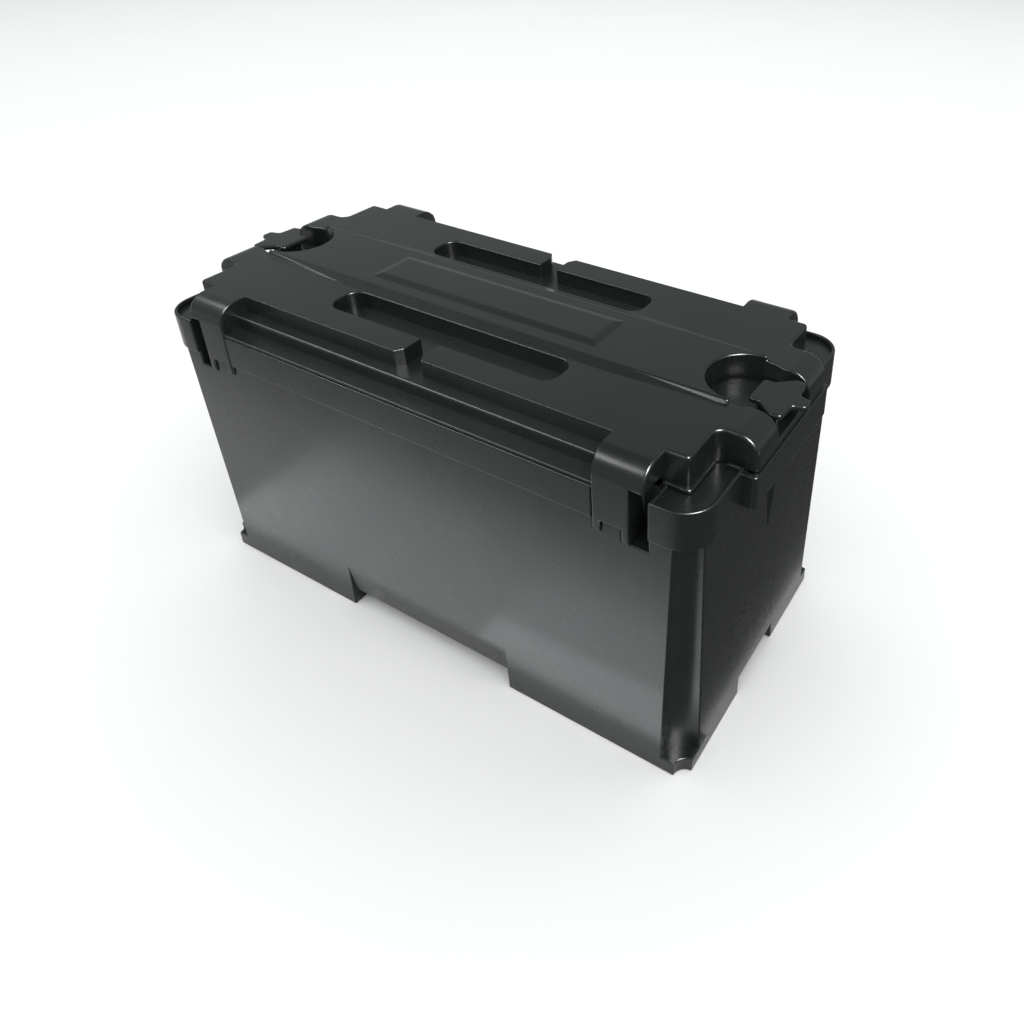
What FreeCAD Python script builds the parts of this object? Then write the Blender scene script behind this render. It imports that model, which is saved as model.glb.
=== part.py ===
import FreeCAD, Part
import math
import os

# Battery pack: one flooded 12 V lead-acid battery of the 4D size class in a two-piece moulded box.
# Millimetres. Origin at the middle of the resting plane, X along the box, Z up.

V = FreeCAD.Vector
OVER = 1.0                  # how far a cutting tool reaches past the face it opens

# ---- box base ----
WALL_X = 303.0              # outer half length of the base walls
WALL_Y = 148.0              # outer half width of the base walls
CAVITY_X = 298.0
CAVITY_Y = 142.5
FLOOR_TOP = 25.5
CHANNEL_HEIGHT = 21.0       # clearance under the base between its feet
CHANNEL_HALF_X = 105.0
CHANNEL_HALF_Y = 39.0
FOOT_WALL = 5.0
SCOOP_TOP = 58.0            # the wall between the feet leans in below this height
SCOOP_DEPTH = 3.5
FLUTE_LOW_Z = 16.0          # the corner flutes stand on a small ledge
FLUTE_LOW_R = 26.0
FLUTE_HIGH_R = 18.0
TOE_GAP_R = 12.0
FLUTE_WALL = 4.5
RIM_X = 308.0
RIM_Y = 150.0
RIM_CORNER = 30.0
RIM_LOW = 272.0
RIM_TOP = 304.0
NOSE_RIM_X = 320.0          # the rim stands further out in the middle of each end
NOSE_RIM_Y = 78.0
NOSE_RIM_WALL = 6.0
DECK = 4.0                  # thickness of the decks that close the corners of the base
BEAD_WIDTH = 3.5
BEAD_TOP = 309.5
GRIP_R = 15.0               # finger flute under the rim at each end
GRIP_LOW = 188.0
SLOT_GAP = 1.0              # between a leg of the lid and its slot
SLOT_WALL = 3.0

# ---- lid ----
LID_LOW = RIM_TOP + 0.3
LID_TOP = 336.0
LID_WALL = 4.0
BODY_Y = 118.0              # half width of the raised body of the lid
END_X = 318.0               # the nose at each end, rounded over like the pillars
ROUND_OVER = 20.0
NOTCH_X = 281.0             # corner notch: the inner step, as far in as NOTCH_Y
NOTCH_Y = 72.0
STEP_X = 213.0              # half length of the stepped stretch of each long side
STEP_Y = 131.0
STEP_Z = 319.5              # the ledge, also the floor of the pockets and of the drain channel
FLANGE_Y = 149.0
FLANGE_Z = 307.5
PILLAR_X = 260.0            # outer side of each corner pillar, at the top
PILLAR_Y = 150.0
RELIEF_DROP = 22.0          # below the top, the outer side of a pillar steps in to its leg
LEG_X = (240.0, 247.0)
LEG_LOW = 259.0
LEG_Y = 126.0
TAB_X = (213.0, 220.5)
TAB_LOW = 262.0
TAB_Y = 146.6
POCKET_X = 132.0
POCKET_Y = (52.0, 89.0)
POCKET_R = 14.0
CHANNEL_X = 10.5
SPINE_RISE = 4.0
SPINE_Y = 39.5
SPINE_SLOPE = 10.0
SPINE_TAPER_X = 160.0
PANEL_X = 128.0
PANEL_Y = 19.0
PANEL_RISE = 2.5
PANEL_SLOPE = 8.0
WELL_R = 37.0
WELL_X = 274.0              # middle of the round part of the end well
MOUTH_Y = 33.0              # half width of its open mouth
WELL_FLOOR = 312.0
DISC_R = 32.0
DISC_TOP = 315.5
ANCHOR_Z = (327.0, 332.0)   # the strap anchor plate that stands over the well

# ---- battery ----
CASE_X = 261.0
CASE_Y = 109.0
CASE_LOW = FLOOR_TOP + 0.3
CASE_TOP = CASE_LOW + 200.0
CASE_WALL = 3.0
COVER_X = 263.5
COVER_Y = 111.0
COVER_TOP = CASE_TOP + 24.0
COVER_LIP = 12.0            # how far the cover reaches down over the case
COVER_SKIN = 5.0
COVER_STEP_Y = 40.0         # the cover is lower beyond this, except around the posts
COVER_STEP = 8.0
POST_BLOCK = 40.0
CAP_R = 15.0
CAP_RISE = 7.0
CAP_STEM_R = 9.0
CAP_STEM = 12.0
CAP_BORE_R = 9.3
CAP_Y = 20.0
SEAL_THICK = 1.6
POST_X = 238.0
POST_Y = 84.0
POST_LOW_R = 9.75           # SAE tapered posts, 1:9 on diameter; the negative one is smaller
POST_SHRINK = 0.8
POST_HEIGHT = 18.0
POST_TAPER = 1.0
BUSH_R = 17.0
BUSH_RISE = 3.0
SHOE_WALL = 2.0             # push-on terminal covers
PLATES_PER_CELL = 5         # of each polarity
PLATE_THICK = 4.4
SEPARATOR_THICK = 1.6
PLATE_LOW = CASE_LOW + CASE_WALL + 14.0
PLATE_HEIGHT = 150.0
PLATE_HALF_X = 78.0
STRAP_BAR = 8.0
LUG_X = 65.0                # from the middle of a cell to the lugs of either polarity
LUG_HALF = 12.0
LUG_RISE = 6.0
LINK_HALF = 8.0
LINK_REACH = 16.0
LINK_CLEAR = 1.5            # between a link and the partition that it crosses
SPACER_TOP = 175.5
SPACER_GAP = 0.4
SIDE_SPACER_X = 180.0
END_SPACER_Y = 70.0

nodes = {}


def box(x0, x1, y0, y1, z0, z1):
    return Part.makeBox(x1 - x0, y1 - y0, z1 - z0, V(x0, y0, z0))


def centred_box(half_x, half_y, z0, z1):
    return box(-half_x, half_x, -half_y, half_y, z0, z1)


def rod(radius, x, y, z0, z1):
    return Part.makeCylinder(radius, z1 - z0, V(x, y, z0))


def rounded_prism(corners, z0, z1):
    """A prism over corners given as (x, y, radius), each rounded with its own arc."""
    points = [V(x, y, z0) for x, y, _ in corners]
    arcs = []
    ends = []
    for i, corner in enumerate(points):
        radius = corners[i][2]
        before = (points[i - 1] - corner).normalize()
        after = (points[(i + 1) % len(points)] - corner).normalize()
        half = before.getAngle(after) / 2
        reach = radius / math.tan(half)
        first = corner + before * reach
        last = corner + after * reach
        ends.append((first, last))
        middle = corner + (before + after).normalize() * (radius / math.sin(half) - radius)
        arcs.append([Part.Arc(first, middle, last).toShape()] if radius > 0 else [])
    edges = []
    for i, arc in enumerate(arcs):
        edges += arc
        start = ends[i][1]
        end = ends[(i + 1) % len(ends)][0]
        if start.distanceToPoint(end) > 1e-6:
            edges.append(Part.makeLine(start, end))
    return Part.Face(Part.Wire(edges)).extrude(V(0, 0, z1 - z0))


def rounded_box(x0, x1, y0, y1, radius, z0, z1):
    corners = [(x0, y0, radius), (x1, y0, radius), (x1, y1, radius), (x0, y1, radius)]
    return rounded_prism(corners, z0, z1)


def profile_along_x(points, x0, x1):
    """A straight-edged section given as (y, z) points, run from x0 to x1."""
    wire = Part.makePolygon([V(x0, y, z) for y, z in points + points[:1]])
    return Part.Face(wire).extrude(V(x1 - x0, 0, 0))


def outside_round(at, edge, top, radius, run):
    """What lies outside a rounded-over edge: at(a, z) places a point of the section, run sweeps it."""
    short = radius * (1 - math.sqrt(0.5))
    arc = Part.Arc(at(edge - radius, top), at(edge - short, top - short), at(edge, top - radius)).toShape()
    rest = Part.makePolygon([at(edge, top - radius), at(edge + OVER, top - radius), at(edge + OVER, top + OVER),
                             at(edge - radius, top + OVER), at(edge - radius, top)])
    return Part.Face(Part.Wire([arc] + rest.Edges)).extrude(run)


def both_ends(shape):
    return [shape, shape.mirror(V(0, 0, 0), V(1, 0, 0))]


def both_sides(shape):
    return [shape, shape.mirror(V(0, 0, 0), V(0, 1, 0))]


def four_corners(shape):
    return [copy for half in both_ends(shape) for copy in both_sides(half)]


def add(node, *shapes):
    nodes[node] = shapes[0] if len(shapes) == 1 else Part.makeCompound(list(shapes))


# ---------------------------------------------------------------- box base

def corner_region(deck_x, deck_y, inner_x, z0, z1):
    """The stepped corner that the lid leaves bare, from its inner edges out past the rim."""
    outer_x = RIM_X + OVER
    outer_y = RIM_Y + OVER
    inner = box(inner_x, outer_x, deck_y[0], outer_y, z0, z1)
    return inner.fuse(box(deck_x, outer_x, deck_y[1], outer_y, z0, z1))


def flute(extra, z0, z1):
    """The tapered hollow at a base corner, larger by extra."""
    cone = Part.makeCone(FLUTE_LOW_R + extra, FLUTE_HIGH_R + extra, z1 - z0)
    cone.translate(V(WALL_X, WALL_Y, z0))
    return cone


def grip(extra):
    """The half-cone hollow under the rim at the +X end, larger by extra."""
    cone = Part.makeCone(0.5 + extra, GRIP_R + extra, RIM_LOW - GRIP_LOW)
    cone.translate(V(WALL_X, 0, GRIP_LOW))
    return cone


def make_base():
    shell = centred_box(WALL_X, WALL_Y, 0, RIM_LOW)
    shell = shell.cut(four_corners(flute(0, FLUTE_LOW_Z, RIM_LOW)))
    shell = shell.cut(four_corners(rod(TOE_GAP_R, WALL_X, WALL_Y, -OVER, FLUTE_LOW_Z)))
    rim = rounded_box(-RIM_X, RIM_X, -RIM_Y, RIM_Y, RIM_CORNER, RIM_LOW, RIM_TOP)
    nose_rim = rounded_box(-NOSE_RIM_X, NOSE_RIM_X, -NOSE_RIM_Y, NOSE_RIM_Y, 4, RIM_LOW, RIM_TOP)
    shell = shell.fuse([rim, nose_rim])
    cavity = centred_box(CAVITY_X, CAVITY_Y, FLOOR_TOP, RIM_TOP + OVER)
    cavity = cavity.cut(four_corners(rod(FLUTE_LOW_R + FLUTE_WALL, WALL_X, WALL_Y, 0, RIM_TOP + 2 * OVER)))
    cavity = cavity.cut(both_ends(grip(FLUTE_WALL)))
    nose_room = centred_box(NOSE_RIM_X - NOSE_RIM_WALL, NOSE_RIM_Y - NOSE_RIM_WALL, RIM_LOW + DECK, RIM_TOP + OVER)
    shell = shell.cut(cavity.fuse(nose_room))
    shell = shell.cut(both_ends(grip(0)))
    decks = corner_region(PILLAR_X - 3, (NOTCH_Y - 4, BODY_Y - 4), NOTCH_X - 4, RIM_TOP - DECK, RIM_TOP)
    outline = rounded_box(-RIM_X, RIM_X, -RIM_Y, RIM_Y, RIM_CORNER, RIM_TOP - DECK, BEAD_TOP)
    inset = RIM_CORNER - BEAD_WIDTH
    hollow = rounded_box(BEAD_WIDTH - RIM_X, RIM_X - BEAD_WIDTH, BEAD_WIDTH - RIM_Y, RIM_Y - BEAD_WIDTH,
                         inset, RIM_TOP - DECK - OVER, BEAD_TOP + OVER)
    bead_x = PILLAR_X + BEAD_WIDTH
    bead_zone = corner_region(bead_x, (NOTCH_Y + 3, BODY_Y + 6), NOTCH_X + 12, RIM_TOP - OVER, BEAD_TOP)
    bead = outline.cut(hollow).common(bead_zone)
    side_bead = box(bead_x, bead_x + BEAD_WIDTH, BODY_Y + 6, RIM_Y, RIM_TOP - OVER, BEAD_TOP)
    end_bead = box(NOTCH_X + 12, RIM_X, NOTCH_Y + 3, NOTCH_Y + 3 + BEAD_WIDTH, RIM_TOP - OVER, BEAD_TOP)
    shell = shell.fuse(four_corners(decks.common(outline)))
    shell = shell.fuse(four_corners(bead) + four_corners(side_bead) + four_corners(end_bead.common(outline)))
    shell = shell.fuse(leg_slots(SLOT_WALL)).cut(leg_slots(0) + tab_slots())
    return shell.cut(underside()).removeSplitter()


def leg_slots(wall):
    """The slots in the rim that the lid's legs drop into, or their walls when wall is not zero."""
    low = LEG_LOW - SLOT_GAP - wall
    inner = LEG_Y - SLOT_GAP - wall
    outer = CAVITY_Y + OVER if wall else RIM_Y + OVER
    top = RIM_TOP if wall else BEAD_TOP + OVER
    return four_corners(box(LEG_X[0] - SLOT_GAP - wall, PILLAR_X + BEAD_WIDTH + wall, inner, outer, low, top))


def tab_slots():
    """The rebates in the rim that the skirts of the lid's pillars lie in, with the slots for their tabs."""
    gap = SLOT_GAP / 2
    skirt = box(TAB_X[0] - gap, LEG_X[0], TAB_Y - gap, RIM_Y + OVER, RIM_LOW - gap, RIM_TOP + OVER)
    tab = box(TAB_X[0] - gap, TAB_X[1] + gap, TAB_Y - gap, RIM_Y + OVER, TAB_LOW - gap, RIM_LOW)
    return four_corners(skirt) + four_corners(tab)


def underside():
    """Channels between the feet, the scoops above them, and the hollows inside the feet."""
    along = box(-CHANNEL_HALF_X, CHANNEL_HALF_X, -WALL_Y - OVER, WALL_Y + OVER, -OVER, CHANNEL_HEIGHT)
    across = box(-WALL_X - OVER, WALL_X + OVER, -CHANNEL_HALF_Y, CHANNEL_HALF_Y, -OVER, CHANNEL_HEIGHT)
    lean = [(WALL_Y, SCOOP_TOP), (WALL_Y + OVER, SCOOP_TOP), (WALL_Y + OVER, 0), (WALL_Y - SCOOP_DEPTH, 0),
            (WALL_Y - SCOOP_DEPTH, CHANNEL_HEIGHT)]
    scoop = profile_along_x(lean, -CHANNEL_HALF_X, CHANNEL_HALF_X)
    cuts = [along, across] + both_sides(scoop)
    middle_x = (CHANNEL_HALF_X + WALL_X) / 2
    spans = [(CHANNEL_HALF_X + FOOT_WALL, middle_x - FOOT_WALL / 2), (middle_x + FOOT_WALL / 2, WALL_X - FOOT_WALL)]
    for x0, x1 in spans:
        hollow = box(x0, x1, CHANNEL_HALF_Y + FOOT_WALL, WALL_Y - FOOT_WALL, -OVER, CHANNEL_HEIGHT)
        hollow = hollow.cut(rod(FLUTE_LOW_R + FLUTE_WALL, WALL_X, WALL_Y, -2 * OVER, CHANNEL_HEIGHT + OVER))
        cuts += four_corners(hollow)
    return cuts


# ---------------------------------------------------------------- lid

def lid_body(grow, low, top):
    """The raised body with its notched corners, larger by grow all round."""
    end = END_X + grow
    notch_x = NOTCH_X + grow
    notch_y = NOTCH_Y + grow
    side = BODY_Y + grow
    quarter = [(end, notch_y, 5.0), (notch_x, notch_y, 9.0), (notch_x, side, 4.0)]
    corners = quarter
    corners = corners + [(-x, y, r) for x, y, r in reversed(quarter)]
    corners = corners + [(-x, -y, r) for x, y, r in quarter]
    corners = corners + [(x, -y, r) for x, y, r in reversed(quarter)]
    body = rounded_prism(corners, low, top)
    reach = notch_y + OVER
    return body.cut(both_ends(outside_round(lambda a, z: V(a, -reach, z), end, top, ROUND_OVER + grow,
                                            V(0, 2 * reach, 0))))


def pillar(grow, low, top):
    """A corner pillar: flat on top, then rounded over to its upright outer face."""
    x0 = STEP_X - grow
    x1 = PILLAR_X + grow
    outer = PILLAR_Y + grow
    block = box(x0, x1, BODY_Y - 12, outer, low, top)
    return block.cut(outside_round(lambda a, z: V(x0 - OVER, a, z), outer, top, ROUND_OVER + grow,
                                   V(x1 - x0 + 2 * OVER, 0, 0)))


def stepped_side(grow, low):
    """The two steps on a long side, between the pillars."""
    upper = box(-STEP_X, STEP_X, 0, STEP_Y + grow, low, STEP_Z + grow)
    lower = box(-STEP_X, STEP_X, 0, FLANGE_Y + grow, low, FLANGE_Z + grow)
    return upper.fuse(lower)


def pocket(grow, floor, top):
    return rounded_box(-POCKET_X - grow, POCKET_X + grow, POCKET_Y[0] - grow, POCKET_Y[1] + grow,
                       POCKET_R + grow, floor, top)


def drain(grow, floor, top):
    """The channel across the middle that lets water out of a pocket."""
    mouth = [(-CHANNEL_X - grow - 6, BODY_Y + OVER, 0), (-CHANNEL_X - grow, BODY_Y - 8, 5),
             (-CHANNEL_X - grow, POCKET_Y[1] - OVER, 0), (CHANNEL_X + grow, POCKET_Y[1] - OVER, 0),
             (CHANNEL_X + grow, BODY_Y - 8, 5), (CHANNEL_X + grow + 6, BODY_Y + OVER, 0)]
    return rounded_prism(mouth, floor, top)


def well(grow, floor, top):
    """The round hollow at the +X end of the lid, with its mouth open to the end."""
    mouth = box(WELL_X, END_X + OVER, -MOUTH_Y - grow, MOUTH_Y + grow, floor, top)
    return rod(WELL_R + grow, WELL_X, 0, floor, top).fuse(mouth)


def facets(low, high):
    """A solid between two rings of as many points each, whose sides are flat facets."""
    rings = [Part.Face(Part.makePolygon(ring + ring[:1])) for ring in (low, high)]
    sides = []
    for i, corner in enumerate(low):
        after = (i + 1) % len(low)
        sides.append(Part.Face(Part.makePolygon([corner, low[after], high[i], corner])))
        sides.append(Part.Face(Part.makePolygon([low[after], high[after], high[i], low[after]])))
    return Part.makeSolid(Part.makeShell(rings + sides))


def spine():
    """The low raised strip along the middle, with sloping sides that narrow towards its ends."""
    wide = SPINE_Y + SPINE_SLOPE
    narrow = SPINE_Y + 3
    half = [(WELL_X, narrow), (SPINE_TAPER_X, wide), (-SPINE_TAPER_X, wide), (-WELL_X, narrow)]
    foot = half + [(x, -y) for x, y in reversed(half)]
    low = [V(x, y, LID_TOP) for x, y in foot]
    high = [V(x, math.copysign(SPINE_Y, y), LID_TOP + SPINE_RISE) for x, y in foot]
    return facets(low, high).fuse(box(-WELL_X, WELL_X, -narrow, narrow, LID_TOP - 1, LID_TOP))


def label_panel():
    """A plain raised panel with sloping sides, in the middle of the spine."""
    z = LID_TOP + SPINE_RISE

    def ring(grow, height):
        x = PANEL_X + grow
        y = PANEL_Y + grow
        return Part.makePolygon([V(x, y, height), V(-x, y, height), V(-x, -y, height), V(x, -y, height),
                                 V(x, y, height)])

    return Part.makeLoft([ring(PANEL_SLOPE, z - 0.3), ring(0, z + PANEL_RISE)], True, True)


def strap_anchor():
    """The lobed plate that stands over the +X end well on a short stem, to hook a strap on."""
    lobes = [(281, 17, 4), (291, 16.5, 5), (307, 30, 3), (316, 28, 3.5), (317.5, 9, 4), (329, 6, 4)]
    corners = [(x, -y, r) for x, y, r in lobes] + [(x, y, r) for x, y, r in reversed(lobes)]
    plate = rounded_prism(corners, ANCHOR_Z[0], ANCHOR_Z[1])
    stem = rounded_box(286, 308, -12, 12, 4, WELL_FLOOR - 1, ANCHOR_Z[0] + 1)
    return plate.fuse(stem)


def foot_bead():
    """The bead along the foot of the lid's walls in a corner notch."""
    z1 = LID_LOW + 3.7
    out = 3.5
    corners = [(NOTCH_X - 2, NOTCH_Y + 6, 0), (NOTCH_X + out, NOTCH_Y + 6, 0), (NOTCH_X + out, BODY_Y + out, 5),
               (PILLAR_X - OVER, BODY_Y + out, 0), (PILLAR_X - OVER, BODY_Y - 2, 0), (NOTCH_X - 2, BODY_Y - 2, 0)]
    return rounded_prism(corners, LID_LOW, z1)


def lid_legs():
    """The side walls and the outer faces of the pillars, carried down over the base rim."""
    leg = box(LEG_X[0], LEG_X[1], LEG_Y, PILLAR_Y, LEG_LOW, LID_LOW + 6)
    skirt = box(TAB_X[0], LEG_X[0], TAB_Y, PILLAR_Y, RIM_LOW, LID_LOW + 6)
    tab = box(TAB_X[0], TAB_X[1], TAB_Y, PILLAR_Y, TAB_LOW, RIM_LOW)
    return four_corners(leg) + four_corners(skirt) + four_corners(tab)


def make_lid():
    low = LID_LOW
    top = LID_TOP
    solid = lid_body(0, low, top).fuse(both_sides(stepped_side(0, low)) + four_corners(pillar(0, low, top)))
    solid = solid.fuse(spine()).fuse(label_panel())
    side_relief = box(LEG_X[1], PILLAR_X + OVER, BODY_Y, PILLAR_Y + OVER, low - OVER, top - RELIEF_DROP)
    solid = solid.cut(four_corners(side_relief))
    high = top + 20
    solid = solid.cut(both_sides(pocket(0, STEP_Z, high)) + both_sides(drain(0, STEP_Z, high)))
    disc = rod(DISC_R, WELL_X, 0, WELL_FLOOR - OVER, DISC_TOP)
    solid = solid.cut(both_ends(well(0, WELL_FLOOR, high))).fuse(both_ends(disc.fuse(strap_anchor())))
    inside = lid_body(-LID_WALL, low - OVER, top - LID_WALL)
    inside = inside.fuse(four_corners(pillar(-LID_WALL, low - OVER, top - LID_WALL)))
    inside = inside.fuse(both_sides(stepped_side(-LID_WALL, low - OVER)))
    inside = inside.cut(four_corners(box(LEG_X[1] - LID_WALL, PILLAR_X, BODY_Y - LID_WALL, PILLAR_Y,
                                         low - 2 * OVER, top - RELIEF_DROP + LID_WALL)))
    below = STEP_Z - LID_WALL
    inside = inside.cut(both_sides(pocket(LID_WALL, below, top)) + both_sides(drain(LID_WALL, below, top)))
    inside = inside.cut(both_ends(well(LID_WALL, WELL_FLOOR - LID_WALL, top)))
    solid = solid.cut(inside)
    solid = solid.fuse(four_corners(foot_bead())).fuse(lid_legs())
    return solid.removeSplitter()


# ---------------------------------------------------------------- spacers in the box

def make_spacers():
    """Foam blocks that keep the battery in the middle of the box."""
    end_x = CAVITY_X - SPACER_GAP - FLUTE_WALL - GRIP_R
    side = box(-SIDE_SPACER_X, SIDE_SPACER_X, COVER_Y + SPACER_GAP, CAVITY_Y - SPACER_GAP, FLOOR_TOP, SPACER_TOP)
    end = box(COVER_X + SPACER_GAP, end_x, -END_SPACER_Y, END_SPACER_Y, FLOOR_TOP, SPACER_TOP)
    return both_sides(side) + both_ends(end)


# ---------------------------------------------------------------- battery

# Six cells in two rows of three. The current runs down the +Y row from the positive post and back up
# the -Y row to the negative one. Each cell is (x, y, side), its positive lugs are on that side of it in x.
PITCH_X = (2 * CASE_X - CASE_WALL) / 3
PITCH_Y = (2 * CASE_Y - CASE_WALL) / 2
FIRST_ROW = [(x, PITCH_Y / 2, 1) for x in (PITCH_X, 0, -PITCH_X)]
CELLS = FIRST_ROW + [(-x, -y, -side) for x, y, side in FIRST_ROW]


def make_case():
    case = rounded_box(-CASE_X, CASE_X, -CASE_Y, CASE_Y, 6, CASE_LOW, CASE_TOP)
    half_x = (PITCH_X - CASE_WALL) / 2
    half_y = (PITCH_Y - CASE_WALL) / 2
    return case.cut([box(x - half_x, x + half_x, y - half_y, y + half_y, CASE_LOW + CASE_WALL, CASE_TOP + OVER)
                     for x, y, _ in CELLS])


def cap_place(cell):
    """The middle of the vent cap of a cell, near the cell's edge towards the middle of the battery."""
    x, y, _ = cell
    return x, math.copysign(CAP_Y, y)


def make_cover():
    cover = rounded_box(-COVER_X, COVER_X, -COVER_Y, COVER_Y, 8, CASE_TOP - COVER_LIP, COVER_TOP)
    step_x = POST_X - POST_BLOCK
    step = box(-COVER_X - OVER, step_x, COVER_STEP_Y, COVER_Y + OVER, COVER_TOP - COVER_STEP, COVER_TOP + OVER)
    cover = cover.cut(both_sides(step))
    seat = rounded_box(-CASE_X - 0.1, CASE_X + 0.1, -CASE_Y - 0.1, CASE_Y + 0.1, 6.1,
                       CASE_TOP - COVER_LIP - OVER, CASE_TOP)
    low = CASE_TOP - OVER
    middle = centred_box(CASE_X - CASE_WALL, COVER_STEP_Y - COVER_SKIN, low, COVER_TOP - COVER_SKIN)
    side = box(CASE_WALL - CASE_X, step_x - COVER_SKIN, COVER_STEP_Y, CASE_Y - CASE_WALL, low,
               COVER_TOP - COVER_STEP - COVER_SKIN)
    cover = cover.cut([seat, middle] + both_sides(side))
    bores = [rod(CAP_BORE_R, *cap_place(cell), CASE_TOP, COVER_TOP + OVER) for cell in CELLS]
    posts = [rod(BUSH_R, POST_X, y, COVER_TOP - 6, COVER_TOP + OVER) for y in (-POST_Y, POST_Y)]
    stems = [rod(POST_LOW_R + 0.5, POST_X, y, CASE_TOP - OVER, COVER_TOP) for y in (-POST_Y, POST_Y)]
    return cover.cut(bores + posts + stems).removeSplitter()


def make_cap(cell):
    """One vent cap with a grip bar and a hollow stem."""
    x, y = cap_place(cell)
    z = COVER_TOP + SEAL_THICK + 0.2
    cap = rod(CAP_R, x, y, z, z + CAP_RISE - 3)
    cap = cap.fuse(box(x - CAP_R + 2, x + CAP_R - 2, y - 2.5, y + 2.5, z, z + CAP_RISE))
    cap = cap.fuse(rod(CAP_STEM_R, x, y, z - CAP_STEM, z + OVER))
    cap = cap.cut(rod(CAP_STEM_R - 2.5, x, y, z - CAP_STEM - OVER, z))
    return cap.cut(rod(1.2, x, y + CAP_R / 2, z - OVER, z + CAP_RISE))


def make_seals():
    rings = []
    for cell in CELLS:
        ring = rod(CAP_R - 1, *cap_place(cell), COVER_TOP, COVER_TOP + SEAL_THICK)
        rings.append(ring.cut(rod(CAP_BORE_R, *cap_place(cell), COVER_TOP - OVER, COVER_TOP + 2 * SEAL_THICK)))
    return rings


def make_post(y, shrink):
    """A tapered lead post with its root, down to the strap of the end cell."""
    base = COVER_TOP + BUSH_RISE
    low = POST_LOW_R - shrink
    cone = Part.makeCone(low, low - POST_TAPER, POST_HEIGHT, V(POST_X, y, base))
    root = rod(low - 0.5, POST_X, y, PLATE_LOW + PLATE_HEIGHT + LUG_RISE + STRAP_BAR, base)
    return cone.fuse(root).removeSplitter()


def make_bushing(y, shrink):
    """The lead bushing that seals a post into the cover."""
    ring = rod(BUSH_R - 0.1, POST_X, y, COVER_TOP - 5.9, COVER_TOP)
    ring = ring.fuse(rod(BUSH_R - 3, POST_X, y, COVER_TOP, COVER_TOP + BUSH_RISE - 0.2))
    return ring.cut(rod(POST_LOW_R - shrink + 0.1, POST_X, y, COVER_TOP - 8, COVER_TOP + BUSH_RISE + OVER))


def make_shoe(y, shrink):
    """The push-on cover of a post: a closed cup with a square grip tab."""
    base = COVER_TOP + BUSH_RISE + 0.3
    top = base + POST_HEIGHT
    inner = POST_LOW_R - shrink + 0.4
    cup = rod(inner + SHOE_WALL, POST_X, y, base, top + SHOE_WALL + 0.4)
    cup = cup.cut(rod(inner, POST_X, y, base - OVER, top + 0.4))
    tab = box(POST_X - 20, POST_X - inner - 1, y - 4, y + 4, top - 4, top + SHOE_WALL + 0.4)
    return cup.fuse(tab).removeSplitter()


def plate_ys(cell_y, polarity):
    """The middles of the plates of one polarity in a cell: they alternate across it."""
    pitch = (PITCH_Y - 3 * CASE_WALL) / (2 * PLATES_PER_CELL)
    first = cell_y - pitch * (PLATES_PER_CELL - 0.5)
    return [first + pitch * (2 * i + polarity) for i in range(PLATES_PER_CELL)]


def lug_x(cell, polarity):
    x, _, side = cell
    return x - side * LUG_X if polarity else x + side * LUG_X


def make_plates(polarity):
    """The plates of one polarity, each with the lug that its strap holds."""
    top = PLATE_LOW + PLATE_HEIGHT
    half = PLATE_THICK / 2
    plates = []
    for cell in CELLS:
        middle = lug_x(cell, polarity)
        for y in plate_ys(cell[1], polarity):
            sheet = box(cell[0] - PLATE_HALF_X, cell[0] + PLATE_HALF_X, y - half, y + half, PLATE_LOW, top)
            lug = box(middle - LUG_HALF, middle + LUG_HALF, y - half, y + half, top, top + LUG_RISE)
            plates.append(sheet.fuse(lug).removeSplitter())
    return plates


def make_separators():
    """Thin porous sheets between neighbouring plates."""
    half = SEPARATOR_THICK / 2
    reach = PLATE_HALF_X + 3
    sheets = []
    for x, y, _ in CELLS:
        ys = sorted(plate_ys(y, 0) + plate_ys(y, 1))
        for a, b in zip(ys, ys[1:]):
            middle = (a + b) / 2
            sheets.append(box(x - reach, x + reach, middle - half, middle + half, PLATE_LOW - 2,
                              PLATE_LOW + PLATE_HEIGHT + 3))
    return sheets


def make_straps():
    """Cast lead bars that join the lugs of each plate group."""
    low = PLATE_LOW + PLATE_HEIGHT + LUG_RISE
    half = LUG_HALF + 2
    bars = []
    for cell in CELLS:
        for polarity in (0, 1):
            x = lug_x(cell, polarity)
            ys = plate_ys(cell[1], polarity)
            bars.append(box(x - half, x + half, ys[0] - 3, ys[-1] + 3, low, low + STRAP_BAR))
    return bars


def make_links():
    """Lead links that carry the current over the partitions from cell to cell."""
    low = PLATE_LOW + PLATE_HEIGHT + LUG_RISE + STRAP_BAR
    rise = CASE_TOP + LINK_CLEAR
    gap = CASE_WALL / 2 + LINK_CLEAR
    links = []
    for cell, after in zip(CELLS, CELLS[1:]):
        x = (lug_x(cell, 1) + lug_x(after, 0)) / 2
        y = (cell[1] + after[1]) / 2
        turn = 0 if y else 90
        bridge = box(-LINK_REACH, LINK_REACH, -LINK_HALF, LINK_HALF, low, rise + 5)
        bridge = bridge.cut(box(-gap, gap, -LINK_HALF - OVER, LINK_HALF + OVER, low - OVER, rise))
        bridge.rotate(V(0, 0, 0), V(0, 0, 1), turn)
        bridge.translate(V(x, y, 0))
        links.append(bridge)
    return links


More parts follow.
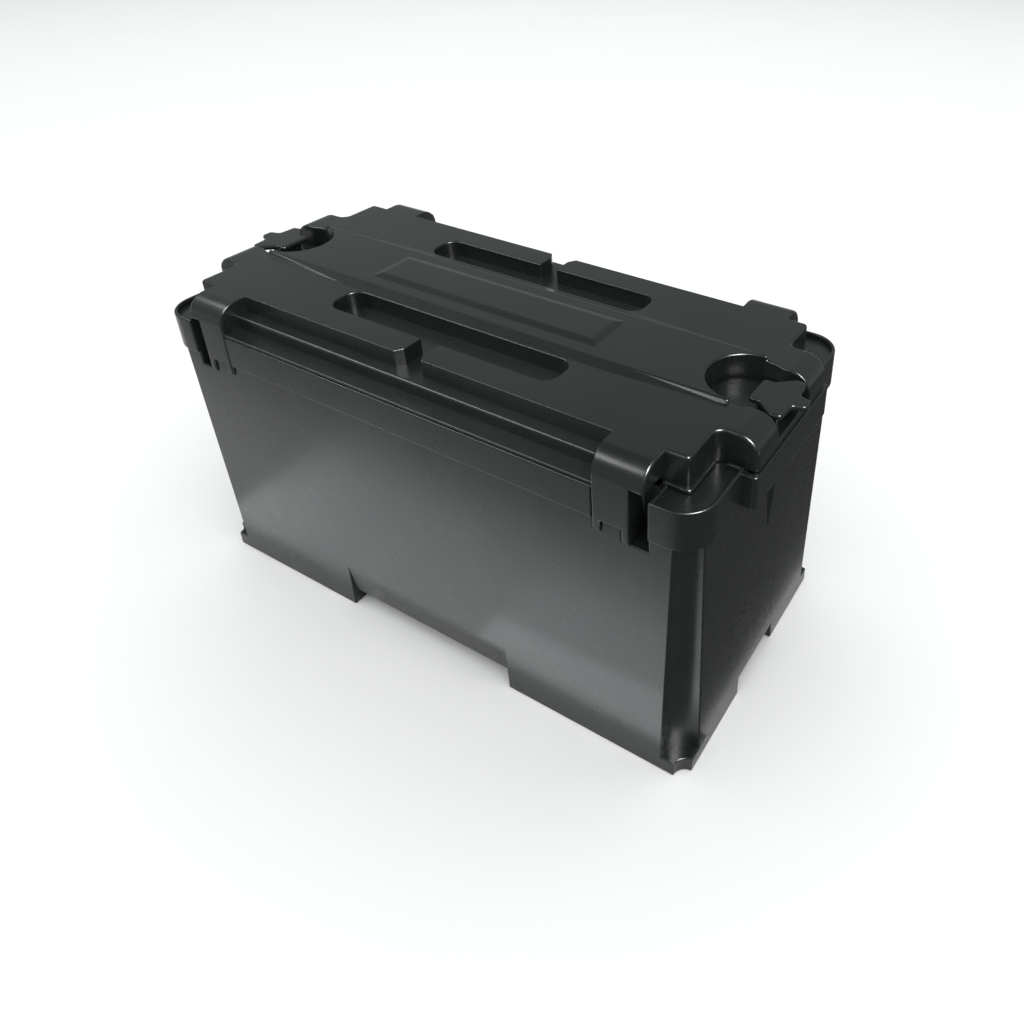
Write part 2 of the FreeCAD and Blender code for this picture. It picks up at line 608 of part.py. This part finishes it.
def build():
    add("box_base", make_base())
    add("box_lid", make_lid())
    add("box_spacers", *make_spacers())
    add("battery_case", make_case())
    add("battery_cover", make_cover())
    for number, cell in enumerate(CELLS, 1):
        add(f"vent_cap_{number}", make_cap(cell))
    add("vent_seals", *make_seals())
    for sign, y, shrink in (("positive", POST_Y, 0.0), ("negative", -POST_Y, POST_SHRINK)):
        add(f"{sign}_post", make_post(y, shrink))
        add(f"{sign}_bushing", make_bushing(y, shrink))
        add(f"{sign}_post_cover", make_shoe(y, shrink))
    add("positive_plates", *make_plates(0))
    add("negative_plates", *make_plates(1))
    add("plate_separators", *make_separators())
    add("plate_straps", *make_straps())
    add("cell_connectors", *make_links())


build()
os.makedirs("parts", exist_ok=True)
for name, shape in nodes.items():
    shape.exportStep(f"parts/{name}.step")
    size = shape.BoundBox
    print(f"{name:20s} solids {len(shape.Solids):3d} valid {shape.isValid()} volume {shape.Volume / 1000:9.1f} cm3"
          f"  x {size.XMin:.1f} {size.XMax:.1f}  y {size.YMin:.1f} {size.YMax:.1f}"
          f"  z {size.ZMin:.1f} {size.ZMax:.1f}")
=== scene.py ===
import math

import bmesh
import bpy
from mathutils import Matrix, Vector
from mathutils.geometry import delaunay_2d_cdt


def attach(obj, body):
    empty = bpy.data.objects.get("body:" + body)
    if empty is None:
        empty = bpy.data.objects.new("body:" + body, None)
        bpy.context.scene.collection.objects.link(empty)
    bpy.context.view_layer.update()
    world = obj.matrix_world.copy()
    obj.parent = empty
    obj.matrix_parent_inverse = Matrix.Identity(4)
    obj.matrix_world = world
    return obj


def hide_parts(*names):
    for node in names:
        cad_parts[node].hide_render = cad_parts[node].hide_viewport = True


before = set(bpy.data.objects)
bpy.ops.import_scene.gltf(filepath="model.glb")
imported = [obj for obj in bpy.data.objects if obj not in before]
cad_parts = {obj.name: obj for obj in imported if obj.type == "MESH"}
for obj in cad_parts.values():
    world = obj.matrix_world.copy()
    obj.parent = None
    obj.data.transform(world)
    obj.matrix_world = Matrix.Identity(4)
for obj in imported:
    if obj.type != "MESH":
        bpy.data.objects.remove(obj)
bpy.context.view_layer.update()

# ------------------------------------------------------------------ camera

CAMERA_AT = Vector((0.5158, -0.5782, 0.7457))
CAMERA_TURN = math.radians(29.27)       # to the left of the box's width
CAMERA_DROP = math.radians(30.05)
CAMERA_ROLL = math.radians(0.93)
CAMERA_LENS = 30.98
CAMERA_SHIFT = (-0.149, -0.179)


def make_camera():
    data = bpy.data.cameras.new("camera")
    data.sensor_width = 36.0
    data.lens = CAMERA_LENS
    data.shift_x, data.shift_y = CAMERA_SHIFT
    data.clip_start = 0.01
    camera = bpy.data.objects.new("camera", data)
    bpy.context.scene.collection.objects.link(camera)
    level = math.cos(CAMERA_DROP)
    forward = Vector((-math.sin(CAMERA_TURN) * level,
                      math.cos(CAMERA_TURN) * level,
                      -math.sin(CAMERA_DROP)))
    right = Vector((math.cos(CAMERA_TURN), math.sin(CAMERA_TURN), 0))
    up = right.cross(forward)
    c, s = math.cos(CAMERA_ROLL), math.sin(CAMERA_ROLL)
    x_axis = c * right + s * up
    y_axis = c * up - s * right
    turn = Matrix((x_axis, y_axis, -forward)).transposed().to_4x4()
    camera.matrix_world = Matrix.Translation(CAMERA_AT) @ turn
    bpy.context.scene.camera = camera


make_camera()

# ------------------------------------------------------------------ materials


class Nodes:
    """A small helper that builds a material's node tree."""

    def __init__(self, name):
        self.material = bpy.data.materials.new(name)
        self.material.use_nodes = True
        self.tree = self.material.node_tree
        self.shader = self.tree.nodes["Principled BSDF"]
        self.coords = self.tree.nodes.new("ShaderNodeTexCoord")

    def node(self, kind, **settings):
        node = self.tree.nodes.new(kind)
        for key, value in settings.items():
            setattr(node, key, value)
        return node

    def link(self, a, b):
        self.tree.links.new(a, b)

    def noise(self, scale, detail=4.0, roughness=0.5, stretch=(1, 1, 1)):
        mapping = self.node("ShaderNodeMapping")
        mapping.inputs["Scale"].default_value = stretch
        self.link(self.coords.outputs["Object"], mapping.inputs["Vector"])
        texture = self.node("ShaderNodeTexNoise")
        texture.inputs["Scale"].default_value = scale
        texture.inputs["Detail"].default_value = detail
        texture.inputs["Roughness"].default_value = roughness
        self.link(mapping.outputs["Vector"], texture.inputs["Vector"])
        return texture.outputs["Fac"]

    def ramp(self, value, low, high, start=0.35, end=0.65):
        ramp = self.node("ShaderNodeMapRange")
        ramp.inputs["From Min"].default_value = start
        ramp.inputs["From Max"].default_value = end
        ramp.inputs["To Min"].default_value = low
        ramp.inputs["To Max"].default_value = high
        self.link(value, ramp.inputs["Value"])
        return ramp.outputs["Result"]

    def mix(self, factor, first, second):
        mix = self.node("ShaderNodeMix", data_type="RGBA")
        self.link(factor, mix.inputs["Factor"])
        mix.inputs["A"].default_value = (*first, 1)
        mix.inputs["B"].default_value = (*second, 1)
        return mix.outputs["Result"]

    def bump(self, height, distance, strength=1.0, normal=None):
        bump = self.node("ShaderNodeBump")
        bump.inputs["Distance"].default_value = distance
        bump.inputs["Strength"].default_value = strength
        self.link(height, bump.inputs["Height"])
        if normal is not None:
            self.link(normal, bump.inputs["Normal"])
        return bump.outputs["Normal"]


def moulded_plastic(name, dark, light, rough, grain_scale=500.0, grain=0.000004, wave=0.0002, specular=0.5):
    """Moulded plastic: faint clouds of shade, uneven gloss, slow waves and a fine grain."""
    n = Nodes(name)
    n.shader.inputs["Specular IOR Level"].default_value = specular
    cloud = n.noise(7.0, 3.0)
    n.link(n.mix(n.ramp(cloud, 0, 1), dark, light), n.shader.inputs["Base Color"])
    n.link(n.ramp(n.noise(23.0, 5.0, 0.6), rough[0], rough[1]), n.shader.inputs["Roughness"])
    slow = n.bump(n.noise(4.0, 1.0), wave)
    n.link(n.bump(n.noise(grain_scale, 2.0), grain, normal=slow), n.shader.inputs["Normal"])
    return n.material


def cellular(name, dark, light, scale, depth, rough):
    """A porous material with small open cells, painted darker in their hollows as shade: foam, paste or felt.
    """
    n = Nodes(name)
    n.shader.inputs["Specular IOR Level"].default_value = 0.2
    cells = n.node("ShaderNodeTexVoronoi")
    cells.inputs["Scale"].default_value = scale
    n.link(n.coords.outputs["Object"], cells.inputs["Vector"])
    # Painted shade: the cell hollows, where the bump below sinks in, are coloured darker than the rims
    # between them.
    shade = n.ramp(cells.outputs["Distance"], 0, 1, 0.1, 0.6)
    n.link(n.mix(shade, dark, light), n.shader.inputs["Base Color"])
    n.link(n.ramp(n.noise(15.0), rough - 0.05, rough + 0.05), n.shader.inputs["Roughness"])
    slow = n.bump(n.noise(60.0, 6.0, 0.65), 4 * depth)
    n.link(n.bump(cells.outputs["Distance"], depth, normal=slow), n.shader.inputs["Normal"])
    return n.material


def dull_lead(name):
    """Cast lead: grey and tarnished in blotches, with a slightly rippled skin."""
    n = Nodes(name)
    tarnish = n.ramp(n.noise(60.0, 8.0, 0.7), 0, 1, 0.42, 0.6)
    n.link(n.mix(tarnish, (0.30, 0.31, 0.33), (0.13, 0.135, 0.15)), n.shader.inputs["Base Color"])
    n.link(n.ramp(tarnish, 0.38, 0.62, 0, 1), n.shader.inputs["Roughness"])
    n.shader.inputs["Metallic"].default_value = 0.85
    slow = n.bump(n.noise(90.0, 3.0), 0.0003)
    n.link(n.bump(n.noise(1500.0, 3.0), 0.00003, normal=slow), n.shader.inputs["Normal"])
    return n.material


BLACK_PLASTIC = moulded_plastic("black_plastic", (0.0095, 0.0125, 0.011), (0.012, 0.0155, 0.0135),
                                (0.26, 0.30), specular=0.35)
COVER_PLASTIC = moulded_plastic("cover_plastic", (0.016, 0.016, 0.017), (0.024, 0.024, 0.025), (0.34, 0.45),
                                grain_scale=1400.0, grain=0.00008)
CASE_PLASTIC = moulded_plastic("case_plastic", (0.50, 0.51, 0.46), (0.60, 0.61, 0.56), (0.36, 0.46),
                               wave=0.0006)
CAP_PLASTIC = moulded_plastic("cap_plastic", (0.50, 0.11, 0.012), (0.60, 0.16, 0.02), (0.28, 0.36))
RED_VINYL = moulded_plastic("red_vinyl", (0.42, 0.012, 0.012), (0.52, 0.02, 0.018), (0.40, 0.52), wave=0.0004)
BLACK_VINYL = moulded_plastic("black_vinyl", (0.014, 0.014, 0.015), (0.022, 0.022, 0.023), (0.42, 0.55),
                              wave=0.0004)
SEAL_RUBBER = moulded_plastic("seal_rubber", (0.018, 0.018, 0.018), (0.028, 0.028, 0.027), (0.62, 0.75),
                              specular=0.3)
FOAM = cellular("foam", (0.018, 0.018, 0.019), (0.05, 0.05, 0.052), 700.0, 0.0004, 0.9)
DARK_PASTE = cellular("dark_paste", (0.06, 0.026, 0.015), (0.12, 0.055, 0.035), 1300.0, 0.0001, 0.85)
GREY_PASTE = cellular("grey_paste", (0.17, 0.18, 0.19), (0.28, 0.29, 0.30), 1300.0, 0.0001, 0.7)
FELT = cellular("felt", (0.62, 0.60, 0.53), (0.74, 0.72, 0.66), 2200.0, 0.00006, 0.9)
LEAD = dull_lead("lead")

# ------------------------------------------------------------------ rounded shells


WELD = 0.00002              # CAD corners this close are one corner
CRACK = 0.000002            # and so are the corners of new faces this close
FLAT_WITHIN = 0.000003
SMALLEST_FLAT = 1e-7        # square metres
CROSSING_WITHIN = 1e-7
ONE_PLANE = math.radians(0.6)
SHARP = math.radians(35)    # what stays sharp in the shading

OUTER_EDGE = 58             # degrees: from here on an edge is rounded
TOP_EDGE = 8                # and on top of the lid, where the label panel slopes gently

# Lines on the box, each a little before the edges it picks out.
BEADS_ABOVE = 0.3085
TOP_ABOVE = 0.3355
LEDGE_BETWEEN = (0.3185, 0.3205)
LEDGE_OUTSIDE = 0.125
STEPS_INSIDE = 0.2135
BODY_OUTSIDE = 0.1
WELLS_INSIDE = 0.0525
DISC_BETWEEN = (0.315, 0.316)
PLATE_ABOVE = 0.3315
CORNERS_ABOVE = 0.3155

# Parts of a node's rounding width.
SOFT = 0.95
PLATE = 0.7
BEAD = 0.62
PLAIN = 0.48
CRISP = 0.25
INNER = 0.22


def apply_modifiers(piece):
    graph = bpy.context.evaluated_depsgraph_get()
    done = bpy.data.meshes.new_from_object(piece.evaluated_get(graph))
    piece.modifiers.clear()
    piece.data = done


def dress(piece, material):
    for face in piece.data.polygons:
        face.material_index = 0
    piece.data.materials.clear()
    piece.data.materials.append(material)


def plain_rounding(edge, angle):
    """How far an edge is rounded, as a part of the node's width: all its sharp outer edges alike."""
    return PLAIN if edge.is_convex and angle > OUTER_EDGE else 0.0


def base_rounding(edge, angle):
    """The beads on the corner decks are rounded right over."""
    plain = plain_rounding(edge, angle)
    return BEAD if plain and min(v.co.z for v in edge.verts) > BEADS_ABOVE else plain


def lid_rounding(edge, angle):
    """The corners, the ledges and the discs in the wells are softest, the long rims of the top crispest."""
    low = min(v.co.z for v in edge.verts)
    inner = min(abs(v.co.x) for v in edge.verts)
    outer = max(abs(v.co.y) for v in edge.verts)
    top = low > TOP_ABOVE
    if angle < (TOP_EDGE if top else OUTER_EDGE):
        return 0.0
    if not edge.is_convex:
        return INNER if top else 0.0
    if inner < STEPS_INSIDE:
        if LEDGE_BETWEEN[0] < low < LEDGE_BETWEEN[1] and outer > LEDGE_OUTSIDE:
            return SOFT
        return CRISP if top and outer > BODY_OUTSIDE else PLAIN
    if outer < WELLS_INSIDE:
        if DISC_BETWEEN[0] < low < DISC_BETWEEN[1]:
            return SOFT
        return PLATE if low > PLATE_ABOVE else PLAIN
    return SOFT if low > CORNERS_ABOVE else PLAIN


def flat_region(start, taken):
    """The faces around start that lie in its plane and weren't made by the rounding."""
    normal, point = start.normal.copy(), start.verts[0].co.copy()
    region, waiting = {start}, [start]
    while waiting:
        for edge in waiting.pop().edges:
            for face in edge.link_faces:
                known = face in region or face in taken or face.material_index
                if not known and all(abs((v.co - point).dot(normal)) < FLAT_WITHIN for v in face.verts):
                    region.add(face)
                    waiting.append(face)
    return region, normal


def covers(triangle, point):
    """1 or -1 where a flat triangle lies over the point, by the way it winds, and 0 elsewhere."""
    sides = [(b - a).cross(point - a) for a, b in zip(triangle, triangle[1:] + triangle[:1])]
    return 1 if min(sides) > 0 else -1 if max(sides) < 0 else 0


def area(triangles):
    return sum((b - a).cross(c - a) for a, b, c in triangles) / 2


def fill_again(bm, region, normal):
    """Replaces the faces of a flat region by ones that span its rim once and leave its holes open.

    The old faces stay where the new ones would cover less than they do, or much more.
    """
    around = sorted({e for f in region for e in f.edges}, key=lambda e: e.index)
    rim = [e for e in around if sum(f in region for f in e.link_faces) == 1]
    corners = sorted({v for e in rim for v in e.verts}, key=lambda v: v.index)
    number = {v: i for i, v in enumerate(corners)}
    across = normal.orthogonal().normalized()
    along = normal.cross(across)
    flat = [Vector((v.co.dot(across), v.co.dot(along))) for v in corners]
    edges = [[number[v] for v in e.verts] for e in rim]
    old = []
    region = sorted(region, key=lambda f: f.index)
    for face in region:
        loop = [Vector((v.co.dot(across), v.co.dot(along))) for v in face.verts]
        old += [[loop[0], b, c] for b, c in zip(loop[1:], loop[2:])]
    points, _, faces, sources, _, _ = delaunay_2d_cdt(flat, edges, [], 0, CROSSING_WITHIN)
    kept = []
    for face in faces:
        centre = sum((points[i] for i in face), Vector((0, 0))) / len(face)
        if sum(covers(triangle, centre) for triangle in old) > 0:
            kept.append(face)
    change = area([[points[i] for i in face] for face in kept]) / area(old)
    if not 0.99 < change < 1.1:
        return
    height = corners[0].co.dot(normal)
    bmesh.ops.delete(bm, geom=region, context="FACES")
    made = [corners[s[0]] if s else bm.verts.new(across * p.x + along * p.y + normal * height)
            for p, s in zip(points, sources)]
    for face in kept:
        loop = [made[i] for i in face]
        if len(set(loop)) > 2 and bm.faces.get(loop) is None:
            bm.faces.new(loop)


def mend_flats(mesh):
    """Fills the flat faces that the rounding may have folded, and marks the edges that stay sharp."""
    bm = bmesh.new()
    bm.from_mesh(mesh)
    bm.normal_update()
    for elements in (bm.verts, bm.edges, bm.faces):
        elements.index_update()
    flats, taken = [], set()
    for face in sorted((f for f in bm.faces if not f.material_index), key=lambda f: -f.calc_area()):
        if face not in taken and face.calc_area() > SMALLEST_FLAT:
            region, normal = flat_region(face, taken)
            taken |= region
            if any(len(f.verts) > 4 or f.normal.dot(normal) < 0.5 for f in region):
                flats.append((region, normal))
    for region, normal in flats:
        fill_again(bm, region, normal)
    bmesh.ops.remove_doubles(bm, verts=bm.verts, dist=CRACK)
    bm.normal_update()
    for face in bm.faces:
        face.smooth = True
    for edge in bm.edges:
        edge.smooth = edge.calc_face_angle(0.0) < SHARP
    bm.to_mesh(mesh)
    bm.free()
    mesh.update()


def rounded_copy(node, body, width, segments, material, rule=plain_rounding):
    """A copy of a CAD node with its sharp edges rounded, which stands for it."""
    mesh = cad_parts[node].data.copy()
    if "custom_normal" in mesh.attributes:
        mesh.attributes.remove(mesh.attributes["custom_normal"])
    bm = bmesh.new()
    bm.from_mesh(mesh)
    bmesh.ops.remove_doubles(bm, verts=bm.verts, dist=WELD)
    bmesh.ops.dissolve_degenerate(bm, edges=bm.edges, dist=WELD)
    bmesh.ops.dissolve_limit(bm, angle_limit=ONE_PLANE, verts=bm.verts, edges=bm.edges)
    weights = bm.edges.layers.float.new("bevel_weight_edge")
    for edge in bm.edges:
        edge[weights] = rule(edge, math.degrees(edge.calc_face_angle(0.0)))
    bm.to_mesh(mesh)
    bm.free()
    piece = bpy.data.objects.new(node + "_rounded", mesh)
    bpy.context.scene.collection.objects.link(piece)
    bevel = piece.modifiers.new("edges", "BEVEL")
    bevel.width = width
    bevel.segments = segments
    bevel.limit_method = "WEIGHT"
    bevel.miter_outer = "MITER_ARC"
    bevel.use_clamp_overlap = False
    bevel.material = 1
    mesh.materials.clear()
    mesh.materials.append(material)
    mesh.materials.append(material)
    apply_modifiers(piece)
    mend_flats(piece.data)
    flat = piece.modifiers.new("normals", "WEIGHTED_NORMAL")
    flat.keep_sharp = True
    apply_modifiers(piece)
    dress(piece, material)
    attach(piece, body)
    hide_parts(node)
    return piece


rounded_copy("box_base", "base", 0.0027, 3, BLACK_PLASTIC, base_rounding)
rounded_copy("box_lid", "lid", 0.0030, 3, BLACK_PLASTIC, lid_rounding)
rounded_copy("box_spacers", "base", 0.0030, 2, FOAM)
rounded_copy("battery_case", "base", 0.0012, 2, CASE_PLASTIC)
rounded_copy("battery_cover", "base", 0.0018, 2, COVER_PLASTIC)
for number in range(1, 7):
    rounded_copy(f"vent_cap_{number}", f"vent_cap_{number}", 0.0012, 2, CAP_PLASTIC)
for sign, vinyl in (("positive", RED_VINYL), ("negative", BLACK_VINYL)):
    rounded_copy(f"{sign}_post_cover", f"{sign}_post_cover", 0.0012, 2, vinyl)
    rounded_copy(f"{sign}_post", "base", 0.0012, 2, LEAD)
    rounded_copy(f"{sign}_bushing", "base", 0.0008, 2, LEAD)


def recolour(node, material):
    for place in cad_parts[node].material_slots:
        place.material = material


recolour("vent_seals", SEAL_RUBBER)
recolour("positive_plates", DARK_PASTE)
recolour("negative_plates", GREY_PASTE)
recolour("plate_separators", FELT)
recolour("plate_straps", LEAD)
recolour("cell_connectors", LEAD)

# ------------------------------------------------------------------ studio


def make_floor():
    bpy.ops.mesh.primitive_plane_add(size=12.0)
    floor = bpy.context.object
    floor.name = "floor"
    n = Nodes("paper")
    n.link(n.mix(n.noise(3.0), (0.91, 0.91, 0.91), (0.93, 0.93, 0.93)), n.shader.inputs["Base Color"])
    n.shader.inputs["Roughness"].default_value = 0.9
    dress(floor, n.material)


def area_light(name, at, toward, size, power):
    data = bpy.data.lights.new(name, "AREA")
    data.shape = "RECTANGLE"
    data.size, data.size_y = size
    data.energy = power
    light = bpy.data.objects.new(name, data)
    bpy.context.scene.collection.objects.link(light)
    light.location = at
    light.rotation_euler = (Vector(toward) - Vector(at)).to_track_quat("-Z", "Y").to_euler()
    return light


def softbox(name, direction, distance, size, power):
    """A light that only shows as a highlight, in this direction from the box."""
    aim = Vector((0, 0, 0.2))
    light = area_light(name, aim + Vector(direction).normalized() * distance, aim, size, power)
    light.visible_diffuse = False
    return light


make_floor()
for name, x, length, power in (("bounce_long", -0.025, 0.65, 0.3), ("bounce_right", 0.17, 0.26, 0.12)):
    strip = area_light(name, (x, -0.25, 0.004), (x, -0.25, 1), (length, 0.16), power)
    strip.visible_camera = False
    strip.data.color = (0.91, 0.97, 1.0)
overhead = area_light("overhead", (0, 0, 4.0), (0, 0, 0), (10.0, 10.0), 400)
overhead.visible_glossy = False
softbox("front_highlight", (-0.5, -0.45, 0.72), 2.2, (1.8, 0.5), 34)
softbox("corner_highlight", (0.63, -0.26, 0.71), 2.2, (0.8, 0.8), 220)


def card(name, low, high, shade):
    """A card on the floor, from corner low to corner high, that only the glossy faces of the box see."""
    middle = [(a + b) / 2 for a, b in zip(low, high)]
    bpy.ops.mesh.primitive_plane_add(size=1.0, location=(*middle, 0.006))
    piece = bpy.context.object
    piece.name = name
    piece.scale = (high[0] - low[0], high[1] - low[1], 1)
    n = Nodes(name)
    n.link(n.mix(n.noise(4.0), (shade, shade, shade), (shade * 1.1, shade * 1.1, shade * 1.1)),
           n.shader.inputs["Base Color"])
    n.shader.inputs["Roughness"].default_value = 0.9
    dress(piece, n.material)
    piece.visible_camera = False
    piece.visible_diffuse = False
    piece.visible_shadow = False


card("card_end", (0.314, -0.1), (2.5, 1.8), 0.02)
card("card_corner", (0.306, -2.0), (2.5, -0.1), 0.02)
card("card_front", (-2.0, -2.0), (0.306, -0.36), 0.3)


SKY_PALE_BELOW = 0.64       # the sine of the height above the horizon
SKY_DIM_ABOVE = 0.95
SKY_PALE = 0.49
SKY_DIM = 0.05


def make_world():
    """A pale band above the horizon that fades to a dim ceiling."""
    world = bpy.data.worlds.new("studio")
    world.use_nodes = True
    tree = world.node_tree
    coords = tree.nodes.new("ShaderNodeTexCoord")
    split = tree.nodes.new("ShaderNodeSeparateXYZ")
    tree.links.new(coords.outputs["Generated"], split.inputs["Vector"])
    ramp = tree.nodes.new("ShaderNodeMapRange")
    ramp.interpolation_type = "SMOOTHSTEP"
    ramp.inputs["From Min"].default_value = SKY_PALE_BELOW
    ramp.inputs["From Max"].default_value = SKY_DIM_ABOVE
    ramp.inputs["To Min"].default_value = SKY_PALE
    ramp.inputs["To Max"].default_value = SKY_DIM
    tree.links.new(split.outputs["Z"], ramp.inputs["Value"])
    tree.links.new(ramp.outputs["Result"], tree.nodes["Background"].inputs["Strength"])
    tree.nodes["Background"].inputs["Color"].default_value = (0.93, 1.0, 0.965, 1)
    bpy.context.scene.world = world


make_world()
bpy.context.scene.view_settings.view_transform = "Standard"
